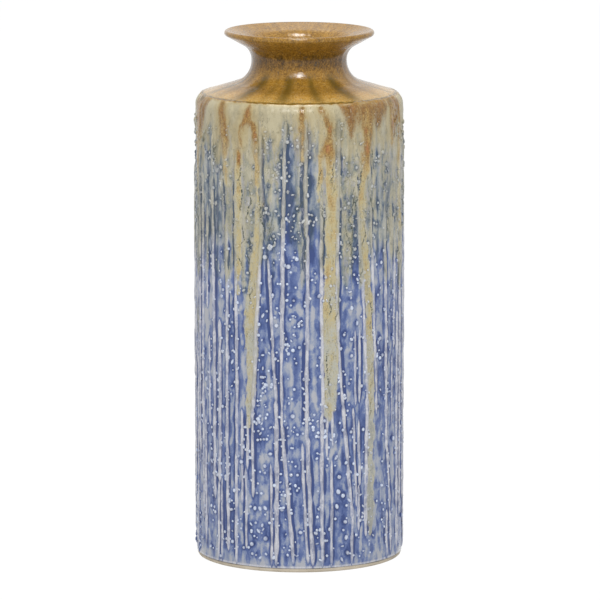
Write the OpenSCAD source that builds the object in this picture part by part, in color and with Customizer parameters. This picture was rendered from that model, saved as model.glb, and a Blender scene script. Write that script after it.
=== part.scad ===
// Stoneware cylinder vase with a waisted neck, a flared mouth and slip-trailed relief on its wall.
// The frame has +Z up and its origin at the middle of the foot; the photographed front faces -Y.

/* [Overall] */
// Height from the foot to the top of the lip
vase_h = 305; // [270:1:350]
// Outside diameter of the bare wall, without its relief
body_d = 119; // [108:1:136]

/* [Foot] */
// Thickness of the floor slab, from the foot to the inside of the vase
floor_t = 8; // [6:0.5:14]
// Height of the slab's edge below the wall, which stays unglazed
edge_h = 2.2; // [1.8:0.1:4]
// How far the slab's edge is set in from the wall
edge_inset = 0.4; // [0:0.1:2]
// Rounding of the slab's lower edge
edge_round = 1.2; // [0.4:0.1:1.6]
// Width of the ring that the vase stands on
foot_ring_w = 9; // [6:0.5:20]
// Depth of the hollow inside the foot ring
foot_hollow_h = 1.5; // [0.8:0.1:2.5]

/* [Wall] */
// Thickness of the wall
wall_t = 5; // [3.5:0.1:7]
// Radial play left for slip where one clay piece fits inside another
slip_play = 0.15; // [0.05:0.05:0.4]

/* [Shoulder] */
// Radius of the shoulder's rounded outer edge
shoulder_round = 7; // [5:0.5:10]
// Fall of the shoulder from the neck to its edge, in degrees
shoulder_fall = 17; // [12:1:22]
// Thickness of the shoulder
shoulder_t = 5; // [4:0.1:6]
// Height of the straight band below the rounded edge
shoulder_band = 0.7; // [0.4:0.1:4]
// How far the spigot reaches down into the wall
spigot_h = 7; // [4:0.5:15]
// Thickness of the spigot
spigot_t = 3; // [2:0.1:5]
// Depth of the rabbet that the neck sits in
rabbet_h = 2.5; // [1.6:0.1:3]
// Width of the ledge that the neck sits on
ledge_w = 3.2; // [2:0.1:4]

/* [Neck and mouth] */
// Outside diameter of the neck at its waist
neck_d = 54.6; // [48:0.2:62]
// Thickness of the neck at its waist
neck_t = 5; // [4:0.1:6.5]
// Height of the straight part of the waist
waist_h = 0.4; // [0.2:0.1:8]
// Radius of the hollow curve from the shoulder up to the waist
neck_root_r = 13.3; // [11:0.1:15]
// Width of the neck's foot on the slope, outside that curve
neck_foot_w = 2; // [1:0.1:3]
// Radius of the curve inside, from the cavity into the throat
throat_entry_r = 12; // [10:0.1:14]
// Radius of the hollow curve from the waist out to the flare
flare_r = 9.6; // [8:0.1:11]
// Rise of the flare's underside above the level, in degrees
flare_rise = 29; // [24:1:36]
// Outside diameter of the mouth
mouth_d = 86; // [80:0.5:98]
// Thickness of the rounded lip
lip_t = 3.2; // [2.6:0.1:4]

/* [Slip relief] */
// Width of a long trail of slip
long_trail_w = 2.2; // [1.6:0.1:2.6]
// Width of a short trail of slip
short_trail_w = 1.8; // [1.2:0.1:2.4]
// Diameter of a large bead of slip
large_bead_d = 2.8; // [2.2:0.1:3.4]
// Diameter of a small bead of slip
small_bead_d = 1.7; // [1.2:0.1:2.2]
// Least space between one trail or bead and the next
slip_space = 0.3; // [0.2:0.05:0.8]
// Height of the bare strip between the relief and the wall's lower edge
bare_foot_h = 2; // [1:0.5:10]
// Height of the bare strip between the relief and the wall's upper edge
bare_top_h = 4; // [2:0.5:20]
// Number of trail columns round the sides and back
back_columns = 44; // [30:1:48]
// Seed of the trails and beads round the sides and back
slip_seed = 41; // [1:1:99]

/* [Hidden] */
$fn = 96;

// Degrees between the points of an arc
arc_step = 6;
// Length of a trail's tapered end against half its width
taper_ratio = 1.8;
// Degrees round that end's quarter ellipse, to its blunt tip and from point to point
end_turn = 30;
// Facets round a bead
bead_fn = 32;

// Radii of the wall, its bore and what fits inside it
wall_r = body_d / 2;
bore_r = wall_r - wall_t;
fit_r = bore_r - slip_play;
edge_r = wall_r - edge_inset;
foot_hollow_r = edge_r - foot_ring_w;
spigot_r = fit_r - spigot_t;

// Lip, flare and waist, worked out downwards from the top of the lip
waist_r = neck_d / 2;
throat_r = waist_r - neck_t;
lip_r = lip_t / 2;
lip_c = [mouth_d / 2 - lip_r, vase_h - lip_r];
flare_out = [sin(flare_rise), -cos(flare_rise)];
flare_tip = lip_c + lip_r * flare_out;
flare_base_x = waist_r + flare_r - flare_r * sin(flare_rise);
flare_base_z = flare_tip[1] - (flare_tip[0] - flare_base_x) * tan(flare_rise);
waist_top = flare_base_z - flare_r * cos(flare_rise);
waist_low = waist_top - waist_h;
flare_c = [waist_r + flare_r, waist_top];

// Inside of the flare: the line that touches the throat's curve and the lip
mouth_in_r = flare_r + neck_t;
to_lip = lip_c - flare_c;
mouth_in_turn = atan2(to_lip[1], to_lip[0]) + acos((mouth_in_r - lip_r) / norm(to_lip));

// Neck root and the shoulder's slope: a line at a set distance along its normal
slope_n = [sin(shoulder_fall), cos(shoulder_fall)];
root_c = [waist_r + neck_root_r, waist_low];
slope_top = slope_n * root_c - neck_root_r;
slope_low = slope_top - shoulder_t;
function slope_z(reach, r) = (reach - slope_n[0] * r) / slope_n[1];
throat_c_x = throat_r + throat_entry_r;
throat_c_z = slope_z(slope_low + throat_entry_r, throat_c_x);
throat_c = [throat_c_x, throat_c_z];
seat_r = root_c[0] - neck_root_r * slope_n[0] + neck_foot_w;
seat_z = slope_z(slope_top, seat_r) - rabbet_h;
opening_r = seat_r - ledge_w;

// Rounded shoulder edge and the top of the wall
round_c_x = wall_r - shoulder_round;
round_c_z = slope_z(slope_top - shoulder_round, round_c_x);
round_c = [round_c_x, round_c_z];
wall_top = round_c_z - shoulder_band;

// Points of an arc about c, from one angle to another, both ends included
function arc(c, r, from, to) =
    let (n = max(2, ceil(abs(to - from) / arc_step)))
    [for (i = [0 : n]) let (a = from + (to - from) * i / n) c + r * [cos(a), sin(a)]];

// Slip layout: turn is the angle from the front, positive to the right, and heights are drawn
// on a wall whose top is drawn_top above the foot and stretch with the wall
drawn_top = 262;
relief_low = edge_h + bare_foot_h;
relief_high = wall_top - bare_top_h;
mm_per_turn = wall_r * PI / 180;
function drawn_z(h) = min(relief_high, max(relief_low, h * wall_top / drawn_top));

// Trails on the front, as drawn: turn and height of the upper end, then of the lower end
front_long = [
    [-76, 210, -76, 5], [-72, 236, -71.6, 62], [-67, 226, -66.4, 28], [-56, 246, -53.6, 42],
    [-44, 192, -43, 13], [-49.6, 140, -49.4, 52], [-37, 236, -36.8, 3], [-21.5, 256, -21.4, 192],
    [-21.8, 189, -25.8, 97], [-12.8, 97, -12.6, 3], [-8.6, 203, -9.8, 131], [-9.2, 83, -3.6, 8],
    [3.6, 258, 3.8, 196], [4.2, 192, 4.4, 79], [4.6, 76, 7.6, 3], [12.2, 216, 12.8, 93],
    [12.4, 89, 13, 3], [21.8, 256, 21.4, 135], [25, 94, 30.6, 32], [33.4, 218, 37.8, 150],
    [40, 97, 39.8, 22], [43.6, 183, 46.4, 121], [54.6, 206, 56.6, 70], [69, 142, 68.6, 3],
    [74, 216, 74, 30]
];
front_short = [
    [-61.4, 206, -61, 152], [-63.2, 82, -63.2, 14], [-59.4, 130, -59, 84], [-47.6, 226, -46.4, 198],
    [-50.4, 46, -50.4, 4], [-47.6, 48, -47.6, 4], [-33, 90, -33, 67], [-33.2, 59, -33.2, 42],
    [-29.8, 86, -29.8, 62], [-30.6, 56, -30.6, 16], [-26.4, 93, -26.2, 46], [-17, 178, -14.9, 131],
    [-14.7, 127, -13.2, 101], [-15.7, 60, -15.5, 4], [-7.6, 256, -8.3, 207], [-9.8, 127, -9.3, 87],
    [1.8, 72, 4.6, 8], [15.2, 88, 15.2, 70], [18.2, 90, 18.2, 76], [18, 62, 17.6, 5],
    [21.8, 131, 24.6, 98], [30.9, 28, 30.3, 4], [32.5, 136, 32.3, 99], [31.2, 91, 32.8, 40],
    [35.4, 136, 35, 100], [34.6, 84, 35, 52], [34.6, 46, 34.2, 26], [38.2, 146, 40.2, 101],
    [42, 236, 43.2, 187], [46.8, 117, 47.2, 92], [57.2, 66, 60.2, 34], [57.4, 28, 57.4, 4],
    [60.8, 29, 61.8, 8], [62.6, 118, 62.2, 84], [65.4, 190, 65, 128]
];

// Beads on the front, as drawn: turn and height
front_large_beads = [
    [-51, 229], [-48, 231], [-52, 210], [-53, 191], [-47.4, 157], [-51.6, 138], [-39, 144], [-24, 153],
    [-19, 182], [-9, 206.5], [-6, 177], [-12.6, 143], [-3.5, 129], [-3.6, 91], [-39, 86.5], [-33.4, 62.8],
    [-24, 66.5], [-19.3, 61.5], [-10.2, 45.3], [-25, 36.7], [-22, 36.7], [-19, 37.2], [-23, 23.6],
    [-18.8, 19.5], [-27, 15.6], [-45.6, 36.5], [-45.8, 22.5], [-39.7, 15.5], [-10.2, 8.5], [24.2, 187],
    [34, 224], [29.8, 152], [33.4, 143], [29.7, 134], [29.8, 124.5], [28, 86], [7.6, 84.5], [10, 56.5],
    [20.6, 66.5], [22.4, 55], [21.8, 46.5], [21, 38], [24.6, 44], [26, 28.6], [26.6, 19.5], [27.4, 10.5],
    [37.4, 39.5], [52, 46.5], [50, 121], [51, 176], [63.8, 72], [-58, 119.5], [-62, 107], [-56.6, 60]
];
front_small_beads = [
    [-12.4, 227.5], [-10.8, 235.4], [-5.8, 236.5], [-5.4, 228.5], [-13.2, 219.5], [-10.8, 220.5],
    [-3.6, 218], [-5.4, 212], [-11.4, 206], [-11.2, 195.5], [-3.6, 194], [-13.6, 189], [-16.4, 189],
    [-11.4, 184.5], [-3.8, 177.3], [-11.8, 167], [-6.6, 167], [-2, 165], [-6.2, 161], [-3, 157.5],
    [-4.6, 154.8], [-3.4, 148.8], [-5, 146.7], [-12.2, 153], [-18, 151], [-18, 145.6], [-5.6, 131.6],
    [-4.4, 134.4], [-25.8, 233], [-27.4, 224], [-29.2, 220.4], [-26.8, 217.8], [-28.8, 212],
    [-27.2, 205.4], [-29.4, 201.8], [-26.8, 201.2], [-53.6, 234], [-60.4, 225], [-62.6, 221.4],
    [-49, 191.5], [-41, 160], [-47.6, 141], [-20.3, 118], [-22.9, 118], [-22.4, 122.6], [-20.4, 125.6],
    [-21.4, 102], [-20.2, 103.8], [-18.8, 105], [-20.4, 106.4], [-18, 108.6], [-23.4, 99], [-17.8, 91.5],
    [-18.6, 89.4], [-21, 86], [-20.4, 83], [-23, 81.6], [-21.8, 80.2], [-23.4, 76.4], [-21.6, 76.8],
    [-19.8, 77], [-18, 77.2], [-24.4, 71.6], [-22, 58], [-19.2, 57.6], [-23.8, 45.6], [-21.2, 45.6],
    [-27.8, 37.4], [-27.4, 27.2], [-24.6, 28.2], [-25.4, 20.4], [-20.2, 24.6], [-29, 13.4], [-32, 13],
    [-18.6, 10.4], [-24.4, 9.4], [-6.4, 10.4], [-1.2, 10], [-40, 106], [-40.2, 39.4], [-39.6, 27.4],
    [-10.4, 52.6], [-10.2, 57.4], [-5.6, 98.4], [-4, 101], [-2, 62], [-1, 80.4], [-1.2, 48], [-1, 57],
    [0.4, 64], [6.8, 206.4], [6, 203], [7.6, 200.6], [28.8, 176], [30.4, 178.6], [24.4, 170],
    [26.8, 163.8], [28.8, 161.4], [29.4, 157.8], [31.4, 171], [25, 238.4], [31.4, 246], [48.4, 210.6],
    [50.4, 161.4], [48.4, 157.6], [26, 114], [29.4, 111], [28.2, 108.6], [50.8, 102.4], [49.4, 125.4],
    [2, 107], [6.2, 125], [2.2, 123], [9.8, 120], [7.4, 88.6], [10, 88], [2.2, 87], [2, 81], [10, 69.4],
    [9.6, 66.4], [15.8, 66], [15.4, 62], [10.2, 47.4], [10.6, 37], [10, 32.4], [9.8, 17], [15.4, 9.6],
    [15.4, 18.4], [20.4, 75.4], [20.2, 30.8], [27.4, 93], [28.2, 96.4], [37.4, 32.4], [43, 50.4],
    [52.4, 60.4], [52.4, 36], [53.6, 32], [45, 18.4], [47.8, 38], [59, 162], [61.4, 147], [60, 100]
];

// A stroke of slip, [turn and z of its upper end, turn and z of its lower end, width]
function stroke(s, w) = [s[0], drawn_z(s[1]), s[2], drawn_z(s[3]), w];
function turn_at(s, z) = s[2] + (s[0] - s[2]) * (z - s[3]) / (s[1] - s[3]);
function apart(turn, width) = abs(turn) * mm_per_turn > width + slip_space;

// Whether a stroke stays clear of another, and of a whole list
function clear_of(s, o) =
    let (lo = max(s[3], o[3]), hi = min(s[1], o[1]), half = (s[4] + o[4]) / 2)
    let (low_gap = turn_at(s, lo) - turn_at(o, lo), high_gap = turn_at(s, hi) - turn_at(o, hi))
    hi < lo - slip_space
        || (low_gap * high_gap > 0 && apart(low_gap, half) && apart(high_gap, half));
function clear_strokes(list, others) =
    [for (s = list) if (len([for (o = others) if (!clear_of(s, o)) 1]) == 0) s];

// Columns round the sides and back, each a long stroke above or below a short one
back_from = 79;
back_span = 360 - back_from - 80;
column_step = back_span / back_columns;
// Share of a column's width by which its trails may stray to either side
stray = 0.1;
// Random numbers drawn for one column
column_rolls = 6;
dice = rands(0, 1, back_columns * column_rolls, slip_seed);
function roll(i, k) = dice[i * column_rolls + k];
function column_turn(i) = back_from + (i + 0.5 + stray * (2 * roll(i, 0) - 1)) * column_step;
function column_drift(i) = stray * (2 * roll(i, 1) - 1) * column_step;
// Drawn heights between which a column starts, breaks and ends
column_top = [150, 254];
column_break = [76, 116];
column_end = [3, 40];
break_space = 5;
function within(span, share) = span[0] + (span[1] - span[0]) * share;
function upper_part(i) = [column_turn(i), within(column_top, roll(i, 2)),
                          column_turn(i) + column_drift(i), within(column_break, roll(i, 3))];
function lower_part(i) = [column_turn(i) + column_drift(i), within(column_break, roll(i, 3)) - break_space,
                          column_turn(i), within(column_end, roll(i, 4))];
// Share of the columns whose long stroke is the upper one
upper_share = 0.5;
columns = [for (i = [0 : back_columns - 1]) i];
back_long = [for (i = columns) roll(i, 5) < upper_share ? upper_part(i) : lower_part(i)];
back_short = [for (i = columns) roll(i, 5) < upper_share ? lower_part(i) : upper_part(i)];

long_strokes = [for (s = concat(front_long, back_long)) stroke(s, long_trail_w)];
short_drawn = [for (s = concat(front_short, back_short)) stroke(s, short_trail_w)];
short_strokes = clear_strokes(short_drawn, long_strokes);
strokes = concat(long_strokes, short_strokes);

// Beads scattered round the sides and back, one at most in each cell of a grid
cell_h = 7.5;
cell_turn = 4.6;
cell_rows = floor((relief_high - relief_low) / cell_h);
cell_columns = floor(back_span / cell_turn);
// Share of the cells that hold a bead, and share of those beads that are large
bead_share = 0.42;
large_share = 0.22;
// Share of a cell's side that its bead keeps from either edge of the cell
cell_margin = 0.3;
// Random numbers drawn for one cell
cell_rolls = 3;
bead_dice = rands(0, 1, cell_rows * cell_columns * cell_rolls, slip_seed + 1);
function bead_roll(i, j, k) = bead_dice[(i * cell_columns + j) * cell_rolls + k];
function in_cell(share) = cell_margin + (1 - 2 * cell_margin) * share;
function cell_bead(i, j) = [back_from + (j + in_cell(bead_roll(i, j, 1))) * cell_turn,
                            relief_low + (i + in_cell(bead_roll(i, j, 2))) * cell_h];
function back_beads(low, high) =
    [for (i = [0 : cell_rows - 1], j = [0 : cell_columns - 1])
        if (bead_roll(i, j, 0) >= low && bead_roll(i, j, 0) < high) cell_bead(i, j)];

// Whether a bead of diameter d at [turn, z] stays clear of a stroke
function bead_clear(b, d, s) =
    b[1] < s[3] - d / 2 - slip_space
        || b[1] > s[1] + d / 2 + slip_space
        || apart(b[0] - turn_at(s, b[1]), (d + s[4]) / 2);
function clear_beads(list, d) =
    [for (b = list) if (len([for (s = strokes) if (!bead_clear(b, d, s)) 1]) == 0) b];
function drawn_beads(list) = [for (b = list) [b[0], drawn_z(b[1])]];
// Whether two beads stay clear of each other
function beads_apart(a, b, d) = norm([(a[0] - b[0]) * mm_per_turn, a[1] - b[1]]) > d + slip_space;
function spread(list, others, d) =
    [for (b = list) if (len([for (o = others) if (!beads_apart(b, o, d)) 1]) == 0) b];

large_split = bead_share * large_share;
mixed_d = (large_bead_d + small_bead_d) / 2;
large_beads = clear_beads(concat(drawn_beads(front_large_beads), back_beads(0, large_split)), large_bead_d);
small_drawn = concat(drawn_beads(front_small_beads), back_beads(large_split, bead_share));
small_beads = spread(clear_beads(small_drawn, small_bead_d), large_beads, mixed_d);

// Half-round bar of slip on the wall, tapered to a small blunt end, its flat side against the clay
module slip_trail(s) {
    rise = s[1] - s[3];
    across = (s[0] - s[2]) * mm_per_turn;
    length = norm([rise, across]);
    half_w = s[4] / 2;
    taper = half_w * taper_ratio;
    low_end = [for (a = [end_turn : end_turn : 90]) [half_w * sin(a), taper * (cos(end_turn) - cos(a))]];
    high_end = [for (i = [len(low_end) - 1 : -1 : 0]) [low_end[i][0], length - low_end[i][1]]];
    rotate([0, 0, (s[0] + s[2]) / 2])
        translate([0, -wall_r, (s[1] + s[3]) / 2])
            rotate([0, atan2(-across, rise), 180])
                translate([0, 0, -length / 2])
                    rotate_extrude(angle = 180)
                        polygon(concat([[0, 0]], low_end, high_end, [[0, length]]));
}

// Dome of slip on the wall, half a ball with its flat side against the clay
module slip_bead(b, d) {
    rotate([0, 0, b[0]])
        translate([0, -wall_r, b[1]])
            intersection() {
                sphere(d = d, $fn = bead_fn);
                translate([-d, -d, -d])
                    cube([2 * d, d, 2 * d]);
            }
}

module floor_slab() {
    color("#CDB79A")
        rotate_extrude()
            polygon(concat(
                [[0, foot_hollow_h], [foot_hollow_r, foot_hollow_h], [foot_hollow_r, 0]],
                arc([edge_r - edge_round, edge_round], edge_round, -90, 0),
                [[edge_r, edge_h], [fit_r, edge_h], [fit_r, floor_t], [0, floor_t]]));
}

module body_wall() {
    color("#6C7BAA")
        rotate_extrude()
            polygon([[bore_r, edge_h], [wall_r, edge_h], [wall_r, wall_top], [bore_r, wall_top]]);
}

module shoulder() {
    color("#A98A4C")
        rotate_extrude()
            polygon(concat(
                [[fit_r, wall_top - spigot_h], [fit_r, wall_top], [wall_r, wall_top]],
                arc(round_c, shoulder_round, 0, 90 - shoulder_fall),
                [[seat_r, slope_z(slope_top, seat_r)], [seat_r, seat_z], [opening_r, seat_z],
                 [opening_r, slope_z(slope_low, opening_r)], [spigot_r, slope_z(slope_low, spigot_r)],
                 [spigot_r, wall_top - spigot_h]]));
}

module flared_neck() {
    color("#8A6432")
        rotate_extrude()
            polygon(concat(
                [[seat_r, seat_z], [seat_r, slope_z(slope_top, seat_r)]],
                arc(root_c, neck_root_r, 270 - shoulder_fall, 180),
                arc(flare_c, flare_r, 180, 90 + flare_rise),
                arc(lip_c, lip_r, flare_rise - 90, mouth_in_turn),
                arc(flare_c, mouth_in_r, mouth_in_turn, 180),
                arc(throat_c, throat_entry_r, 180, 270 - shoulder_fall),
                [[opening_r, slope_z(slope_low, opening_r)], [opening_r, seat_z]]));
}

module long_slip_trails() {
    color("#C9C7CF")
        for (s = long_strokes) slip_trail(s);
}

module short_slip_trails() {
    color("#BFC1CC")
        for (s = short_strokes) slip_trail(s);
}

module large_slip_beads() {
    color("#DAD9E2")
        for (b = large_beads) slip_bead(b, large_bead_d);
}

module small_slip_beads() {
    color("#D2D4E0")
        for (b = small_beads) slip_bead(b, small_bead_d);
}

floor_slab();
body_wall();
shoulder();
flared_neck();
long_slip_trails();
short_slip_trails();
large_slip_beads();
small_slip_beads();
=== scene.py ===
# %% [markdown]
# # A slip-trailed stoneware vase
# The vase is a tall thrown cylinder with a sloping shoulder, a waisted neck and a wide flared mouth. Lines
# and dots of liquid clay, which potters call slip, stand up from its wall. A cobalt glaze covers it, and an
# amber glaze on the neck has run down over the blue in the kiln. The solids of the part are loaded first,
# as a fixed frame that gives every size. The pieces made below replace them one by one.

# %% Load the part
import math

import bmesh
import bpy
import numpy as np
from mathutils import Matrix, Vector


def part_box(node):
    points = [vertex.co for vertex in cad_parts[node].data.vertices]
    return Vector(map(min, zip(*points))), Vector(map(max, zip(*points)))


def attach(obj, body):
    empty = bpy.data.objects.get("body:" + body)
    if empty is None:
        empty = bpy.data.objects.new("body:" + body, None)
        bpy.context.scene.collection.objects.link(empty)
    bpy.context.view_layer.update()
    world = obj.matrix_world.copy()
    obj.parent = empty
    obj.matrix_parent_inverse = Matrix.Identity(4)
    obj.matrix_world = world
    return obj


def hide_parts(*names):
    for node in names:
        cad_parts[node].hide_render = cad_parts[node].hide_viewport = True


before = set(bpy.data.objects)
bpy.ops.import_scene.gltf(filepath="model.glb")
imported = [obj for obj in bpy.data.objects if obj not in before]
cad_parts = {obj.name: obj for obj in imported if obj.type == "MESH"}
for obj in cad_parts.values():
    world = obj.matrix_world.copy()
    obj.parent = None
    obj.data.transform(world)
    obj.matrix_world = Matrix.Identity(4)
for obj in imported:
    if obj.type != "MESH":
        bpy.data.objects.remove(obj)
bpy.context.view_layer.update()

print("solids:", ", ".join(sorted(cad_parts)))

# %% [markdown]
# ## Camera
# The photograph was taken from a little above and from far away, so the sides of the vase look almost
# parallel. A long lens at three metres gives that. The distance, height and tilt come from the ellipses
# that the rim and the foot make in the picture.

# %% Set the camera
scene = bpy.context.scene
scene.view_settings.view_transform = "Standard"
camera = bpy.data.objects.new("camera", bpy.data.cameras.new("camera"))
camera.data.sensor_width = 36
camera.data.lens = 314.6
camera.location = (0.0004, -2.988, 0.6425)
looks_down = 9.3945
camera.rotation_euler = (math.radians(90 - looks_down), 0, 0)
scene.collection.objects.link(camera)
scene.camera = camera
print(f"camera: {camera.data.lens:.0f} mm lens, {-camera.location.y:.2f} m away, {looks_down:.1f} deg down")

# %% [markdown]
# ## Colours and nodes
# Colours are written as sRGB hex values, as a paint program shows them, while Blender's shaders count in
# linear light, so one function turns one into the other. A second function adds a shader node with its
# settings and its links, which keeps each material short enough to read from top to bottom.

# %% Two helpers for materials
def linear(code):
    """Linear RGBA of an sRGB hex colour."""
    parts = [int(code[i:i + 2], 16) / 255 for i in (1, 3, 5)]
    return [c / 12.92 if c <= 0.04045 else ((c + 0.055) / 1.055) ** 2.4 for c in parts] + [1]


def add(tree, kind, inputs, out=0, codes="", places=None, **settings):
    """An output of a new shader node. Inputs maps a socket to a value or to another node's output; a ramp
    takes hex codes, spread evenly unless their places are given."""
    node = tree.nodes.new("ShaderNode" + kind)
    for name, value in settings.items():
        setattr(node, name, value)
    for key, value in inputs.items():
        if isinstance(value, bpy.types.NodeSocket):
            tree.links.new(value, node.inputs[key])
        else:
            node.inputs[key].default_value = value
    codes = codes.split()
    for i, (place, code) in enumerate(zip(places or np.linspace(0, 1, len(codes)), codes)):
        elements = node.color_ramp.elements
        element = elements[i] if i < 2 else elements.new(place)
        element.position, element.color = place, linear(code)
    return node.outputs[out]


print("white is", linear("#FFFFFF"))

# %% [markdown]
# ## Floor, backdrop and light
# The vase stands on white in soft light from all round. The world is plain white where the camera or a
# reflection sees it, and half as bright as a lamp. The floor is mostly glowing white to the camera, with a
# part of real diffuse white in it that keeps the shadow round the foot. A tall lamp in front, a smaller one
# overhead and a weak one behind give the glaze its highlights.

# %% White world
fill_level = 0.5


def in_sight(tree):
    """1 for a ray from the eye, straight, by a reflection or through glass, and 0 for any other."""
    straight, mirrored, through = (add(tree, "LightPath", {}, out=f"Is {ray} Ray")
                                   for ray in ("Camera", "Glossy", "Transmission"))
    share = add(tree, "Math", {0: straight, 1: mirrored}, operation="MAXIMUM")
    return add(tree, "Math", {0: share, 1: through}, operation="MAXIMUM")


world = bpy.data.worlds.new("white tent")
scene.world = world
world.use_nodes = True
sky = world.node_tree
level = add(sky, "MapRange", {"Value": in_sight(sky), "To Min": fill_level, "To Max": 1.0})
background = sky.nodes["Background"]
background.inputs["Color"].default_value = linear("#FFFFFF")
sky.links.new(level, background.inputs["Strength"])
print("fill from the white tent:", fill_level)

# %% White floor
floor_half = 6.0
shadow_share = 0.05
# The glow is a touch over 1, so that the paper is plain white in the picture.
glow_level = 1.03
floor_mesh = bpy.data.meshes.new("floor")
corners = [(-1, -1), (1, -1), (1, 1), (-1, 1)]
floor_mesh.from_pydata([(x * floor_half, y * floor_half, 0) for x, y in corners], [], [(0, 1, 2, 3)])
floor = bpy.data.objects.new("floor", floor_mesh)
scene.collection.objects.link(floor)
paper = bpy.data.materials.new("matt white paper")
paper.use_nodes = True
tree = paper.node_tree
tree.nodes.remove(tree.nodes["Principled BSDF"])
glow_share = add(tree, "Math", {0: in_sight(tree), 1: 1 - shadow_share}, operation="MULTIPLY")
sheet = add(tree, "BsdfDiffuse", {"Color": linear("#FAFAFA")})
glow = add(tree, "Emission", {"Color": linear("#FFFFFF"), "Strength": glow_level})
mixed = add(tree, "MixShader", {0: glow_share, 1: sheet, 2: glow})
tree.links.new(mixed, tree.nodes["Material Output"].inputs["Surface"])
floor_mesh.materials.append(paper)
print(f"floor: {2 * floor_half:.0f} m wide, {shadow_share:.0%} of a real shadow shows")

# %% Studio lamps
# Each lamp has a place, a point that it aims at and a size, all in metres, and its power in watts.
lamps = {
    "softbox_in_front": ((0, -1.7, 1.82), (0, 0, 0.2), (0.34, 0.7), 31.0),
    "overhead": ((0, 0, 1.5), (0, 0, 0.2), (0.24, 0.16), 5.5),
    "from_behind": ((0, 0.8, 1.2), (0, 0, 0.27), (0.5, 0.3), 0.6),
}
for name, (place, aim, size, power) in lamps.items():
    lamp = bpy.data.lights.new(name, "AREA")
    lamp.shape = "RECTANGLE"
    lamp.size, lamp.size_y = size
    lamp.energy = power
    lamp_object = bpy.data.objects.new(name, lamp)
    lamp_object.location = place
    reach = np.array(aim) - np.array(place)
    lamp_object.rotation_euler = (math.atan2(math.hypot(reach[0], reach[1]), -reach[2]), 0,
                                  math.atan2(-reach[0], reach[1]))
    scene.collection.objects.link(lamp_object)
    print(f"lamp {name}: {size[0]} by {size[1]} m, {power} W")

# %% [markdown]
# ## Sizes of the pot
# The wall, floor, shoulder and neck are the four clay pieces that were joined before firing. Their main
# sizes are read from the solids, so the visible pieces sit exactly where the solids are. The curves of the
# shoulder and the neck are arcs that run into each other, so a few radii give the whole profile.

# %% Read sizes from the solids
mm = 0.001
wall_box, neck_box = (np.array([list(corner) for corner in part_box(node)]) / mm
                      for node in ("body_wall", "flared_neck"))
wall_r = wall_box[1, 0]
wall_low, wall_top = wall_box[:, 2]
wall_t = 5.0
bore_r = wall_r - wall_t
vase_h = neck_box[1, 2]
mouth_r = neck_box[1, 0]
mm_per_turn = wall_r * math.pi / 180
print(f"wall: {wall_r:.2f} mm in radius, from {wall_low:.2f} to {wall_top:.2f} mm")
print(f"mouth: {mouth_r:.2f} mm in radius, at {vase_h:.1f} mm")

# %% Read the slip marks from the solids
def solids_of(node):
    """The vertices, in mm, of each separate solid of a node."""
    mesh = bmesh.new()
    mesh.from_mesh(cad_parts[node].data)
    bmesh.ops.remove_doubles(mesh, verts=mesh.verts, dist=1e-6)
    seen, found = set(), []
    for first in mesh.verts:
        if first in seen:
            continue
        seen.add(first)
        group = [first]
        for vert in group:
            near = [edge.other_vert(vert) for edge in vert.link_edges]
            fresh = [v for v in near if v not in seen]
            seen.update(fresh)
            group.extend(fresh)
        found.append(np.array([v.co[:] for v in group]) / mm)
    mesh.free()
    return found


def turn_of(points):
    """Degrees round the vase from the front, positive to the right."""
    return np.degrees(np.arctan2(points[:, 0], -points[:, 1]))


def ends_of(points):
    """Place of a trail's upper end, then of its lower end, in mm."""
    end_slice, rise = 0.3, points[:, 2]
    upper = points[rise > rise.max() - end_slice].mean(0)
    lower = points[rise < rise.min() + end_slice].mean(0)
    return [*upper[:2], rise.max(), *lower[:2], rise.min()]


trail_ends, bead_marks = {}, {}
for node in ("long_slip_trails", "short_slip_trails"):
    ends = np.array([ends_of(points) for points in solids_of(node)])
    trail_ends[node] = np.column_stack([turn_of(ends), ends[:, 2], turn_of(ends[:, 3:]), ends[:, 5]])
for node, width in (("large_slip_beads", 2.8), ("small_slip_beads", 1.7)):
    middles = np.array([(points.min(0) + points.max(0)) / 2 for points in solids_of(node)])
    bead_marks[node] = np.column_stack([turn_of(middles), middles[:, 2], np.full(len(middles), width)])
for node, marks in {**trail_ends, **bead_marks}.items():
    print(f"{node}: {len(marks)} marks")

# %% [markdown]
# ## A chart of the glaze
# A glaze firing leaves each colour where the liquid glaze ran, pooled or thinned, so the colours follow the
# relief. They could be painted by hand on a texture, but here a chart does it: a grid of turns and heights,
# like a label peeled off the wall. Each layer of the chart holds a distance or a share, which stays sharp
# when it is spread over a mesh. The shader turns those distances into colour and adds the finer grain.

# %% The grid and its noise
turn_step, z_step, chart_top = 0.25, 0.5, 292
chart_turn = np.arange(-180, 180, turn_step)
chart_z = np.arange(0, chart_top, z_step)
turn, height = np.meshgrid(chart_turn, chart_z)


def ripple(across, up, seed):
    """Smooth noise on the chart, of spread 1, in patches about across by up millimetres."""
    noise = np.fft.rfft2(np.random.default_rng(seed).standard_normal(turn.shape))
    rise = np.fft.fftfreq(len(chart_z), z_step)[:, None]
    round_it = np.fft.rfftfreq(len(chart_turn), turn_step * mm_per_turn)[None, :]
    noise *= np.exp(-2 * (math.pi / 3) ** 2 * ((rise * up) ** 2 + (round_it * across) ** 2))
    field = np.fft.irfft2(noise, s=turn.shape)
    return (field - field.mean()) / field.std()


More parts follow.
